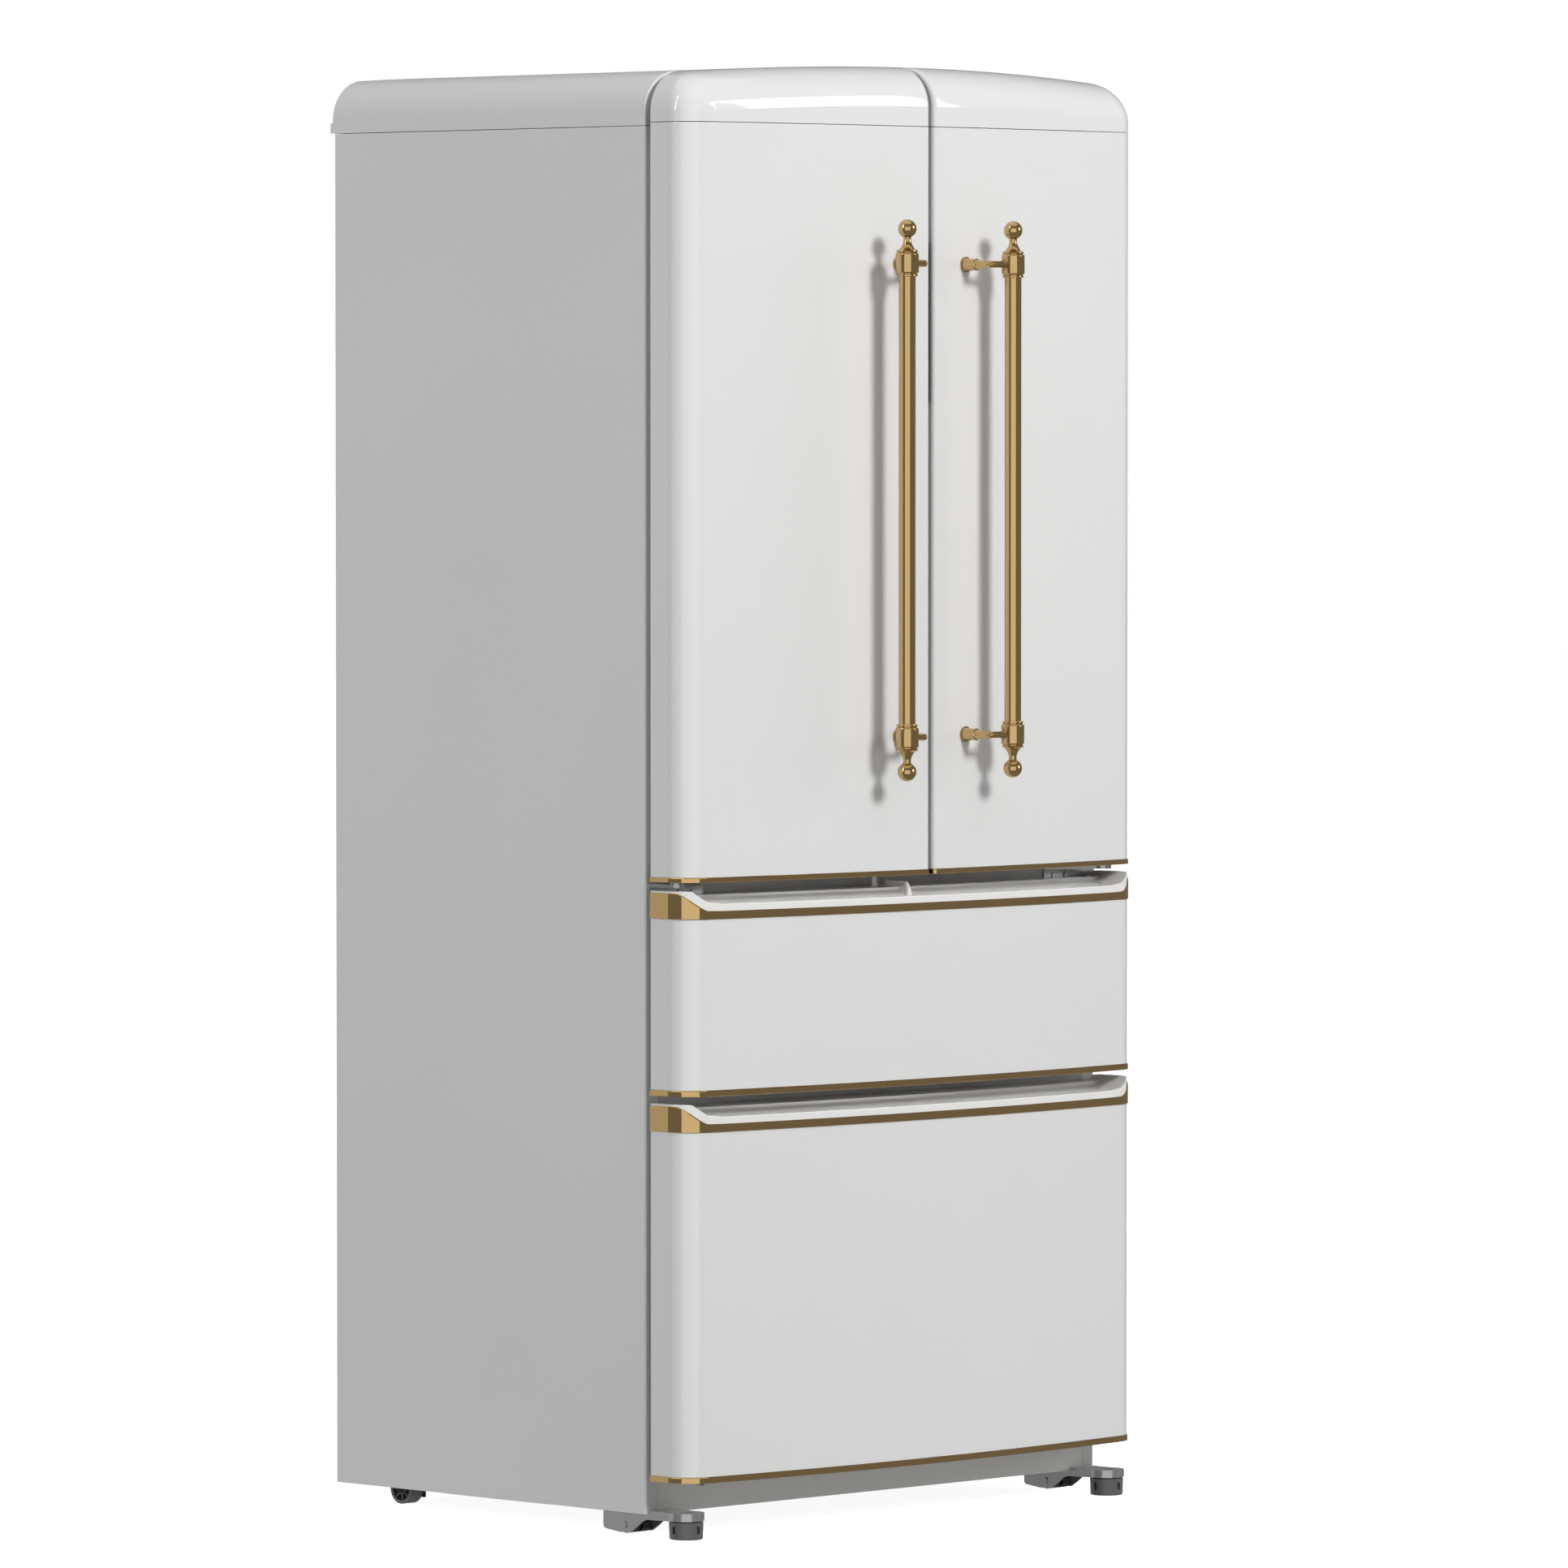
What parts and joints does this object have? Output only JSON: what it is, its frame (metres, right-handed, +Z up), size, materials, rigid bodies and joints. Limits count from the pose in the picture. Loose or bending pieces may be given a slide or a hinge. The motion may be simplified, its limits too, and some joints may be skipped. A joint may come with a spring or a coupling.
{
  "type": "french door refrigerator",
  "caption": "Retro french door refrigerator with a domed top, bowed white doors, drawers with finger scoops, brass trims and brass bar handles.",
  "frame": {"origin": "on the floor, under the middle of the bounding box", "axes": "+Z up, +X to the viewer's right when facing the doors, +Y towards the back"},
  "size_m": [0.7942, 0.7205, 1.7825],
  "materials": {
    "cabinet_paint": "satin",
    "white_enamel": "gloss",
    "white_cap": "gloss",
    "brass": "polished",
    "liner_white": "satin",
    "foam": "matte",
    "frame_paint": "satin",
    "rear_grey": "satin",
    "tray_black": "matte",
    "compressor_black": "satin",
    "coil_steel": "satin",
    "evaporator_aluminium": "satin",
    "shelf_glass": "polished",
    "light_lens": "satin",
    "bracket_steel": "satin",
    "rail_steel": "satin",
    "gasket_grey": "matte",
    "clear_bin": "polished",
    "basket_white": "satin",
    "control_black": "gloss",
    "fan_black": "satin",
    "foot_grey": "satin",
    "roller_black": "satin",
    "roller_grey": "satin"
  },
  "bodies": {
    "cabinet": {"cabinet_shell": "cabinet_paint", "top_cap": "white_cap", "cabinet_foam": "foam", "fridge_liner": "liner_white", "drawer_liners": "liner_white", "front_frame": "frame_paint", "kick_panel": "frame_paint", "rear_cover": "rear_grey", "base_tray": "tray_black", "compressor": "compressor_black", "condenser": "coil_steel", "air_duct": "liner_white", "evaporator": "evaporator_aluminium", "glass_shelves": "shelf_glass", "compartment_light": "light_lens", "door_hinges": "bracket_steel", "leg_brackets": "bracket_steel", "fixed_rails": "rail_steel", "screws": "bracket_steel"},
    "left_door": {"left_door_skin": "white_enamel", "left_door_cap": "white_cap", "left_door_trim": "brass", "left_door_liner": "liner_white", "left_door_gasket": "gasket_grey", "left_door_bins": "clear_bin", "left_handle_bar": "brass", "left_handle_posts": "brass", "control_strip": "control_black"},
    "right_door": {"right_door_skin": "white_enamel", "right_door_cap": "white_cap", "right_door_trim": "brass", "right_door_liner": "liner_white", "right_door_gasket": "gasket_grey", "right_door_bins": "clear_bin", "right_handle_bar": "brass", "right_handle_posts": "brass"},
    "flip_mullion": {"flip_mullion": "liner_white"},
    "mid_drawer": {"mid_drawer_front": "white_enamel", "mid_drawer_scoop": "white_cap", "mid_drawer_trims": "brass", "mid_drawer_liner": "liner_white", "mid_drawer_gasket": "gasket_grey", "mid_drawer_basket": "basket_white"},
    "mid_slides": {"mid_drawer_slides": "rail_steel"},
    "low_drawer": {"low_drawer_front": "white_enamel", "low_drawer_scoop": "white_cap", "low_drawer_trims": "brass", "low_drawer_liner": "liner_white", "low_drawer_gasket": "gasket_grey", "low_drawer_basket": "basket_white"},
    "low_slides": {"low_drawer_slides": "rail_steel"},
    "crisper": {"crisper_drawer": "clear_bin"},
    "condenser_fan": {"condenser_fan": "fan_black"},
    "evaporator_fan": {"evaporator_fan": "fan_black"},
    "left_foot": {"left_foot": "foot_grey"},
    "right_foot": {"right_foot": "foot_grey"},
    "left_front_roller": {"left_front_roller": "roller_black"},
    "right_front_roller": {"right_front_roller": "roller_black"},
    "left_rear_roller": {"left_rear_roller": "roller_grey"},
    "right_rear_roller": {"right_rear_roller": "roller_grey"}
  },
  "joints": [
    {"name": "left_door_swing", "type": "hinge", "parent": "cabinet", "child": "left_door", "pos_m": [-0.375, -0.23233, 0], "axis": [0, 0, -1], "range_deg": [0, 110]},
    {"name": "right_door_swing", "type": "hinge", "parent": "cabinet", "child": "right_door", "pos_m": [0.375, -0.23233, 0], "axis": [0, 0, 1], "range_deg": [0, 110]},
    {"name": "mullion_fold", "type": "hinge", "parent": "left_door", "child": "flip_mullion", "pos_m": [-0.016, -0.19332, 0], "axis": [0, 0, -1], "range_deg": [0, 90]},
    {"name": "mid_drawer_pull", "type": "slide", "parent": "cabinet", "child": "mid_drawer", "axis": [0, -1, 0], "range_m": [0, 0.4]},
    {"name": "mid_slides_travel", "type": "slide", "parent": "cabinet", "child": "mid_slides", "axis": [0, -1, 0], "range_m": [0, 0.2]},
    {"name": "low_drawer_pull", "type": "slide", "parent": "cabinet", "child": "low_drawer", "axis": [0, -1, 0], "range_m": [0, 0.4]},
    {"name": "low_slides_travel", "type": "slide", "parent": "cabinet", "child": "low_slides", "axis": [0, -1, 0], "range_m": [0, 0.2]},
    {"name": "crisper_pull", "type": "slide", "parent": "cabinet", "child": "crisper", "axis": [0, -1, 0], "range_m": [0, 0.095]},
    {"name": "condenser_fan_spin", "type": "hinge", "parent": "cabinet", "child": "condenser_fan", "pos_m": [0.08, 0.25067, 0.12], "axis": [1, 0, 0], "continuous": true},
    {"name": "evaporator_fan_spin", "type": "hinge", "parent": "cabinet", "child": "evaporator_fan", "pos_m": [0, 0.25167, 1.4], "axis": [0, 1, 0], "continuous": true},
    {"name": "left_foot_turn", "type": "hinge", "parent": "cabinet", "child": "left_foot", "pos_m": [-0.3706, -0.24463, 0], "axis": [0, 0, 1], "continuous": true},
    {"name": "left_front_roller_spin", "type": "hinge", "parent": "cabinet", "child": "left_front_roller", "pos_m": [-0.37, -0.15732, 0.0125], "axis": [1, 0, 0], "continuous": true},
    {"name": "left_rear_roller_spin", "type": "hinge", "parent": "cabinet", "child": "left_rear_roller", "pos_m": [-0.325, 0.29868, 0.019], "axis": [1, 0, 0], "continuous": true},
    {"name": "right_foot_turn", "type": "hinge", "parent": "cabinet", "child": "right_foot", "pos_m": [0.3706, -0.24463, 0], "axis": [0, 0, 1], "continuous": true},
    {"name": "right_front_roller_spin", "type": "hinge", "parent": "cabinet", "child": "right_front_roller", "pos_m": [0.37, -0.15732, 0.0125], "axis": [1, 0, 0], "continuous": true},
    {"name": "right_rear_roller_spin", "type": "hinge", "parent": "cabinet", "child": "right_rear_roller", "pos_m": [0.325, 0.29868, 0.019], "axis": [1, 0, 0], "continuous": true}
  ],
  "couplings": [
    {"joint": "mid_slides_travel", "follows": "mid_drawer_pull", "ratio": 0.5},
    {"joint": "low_slides_travel", "follows": "low_drawer_pull", "ratio": 0.5}
  ]
}
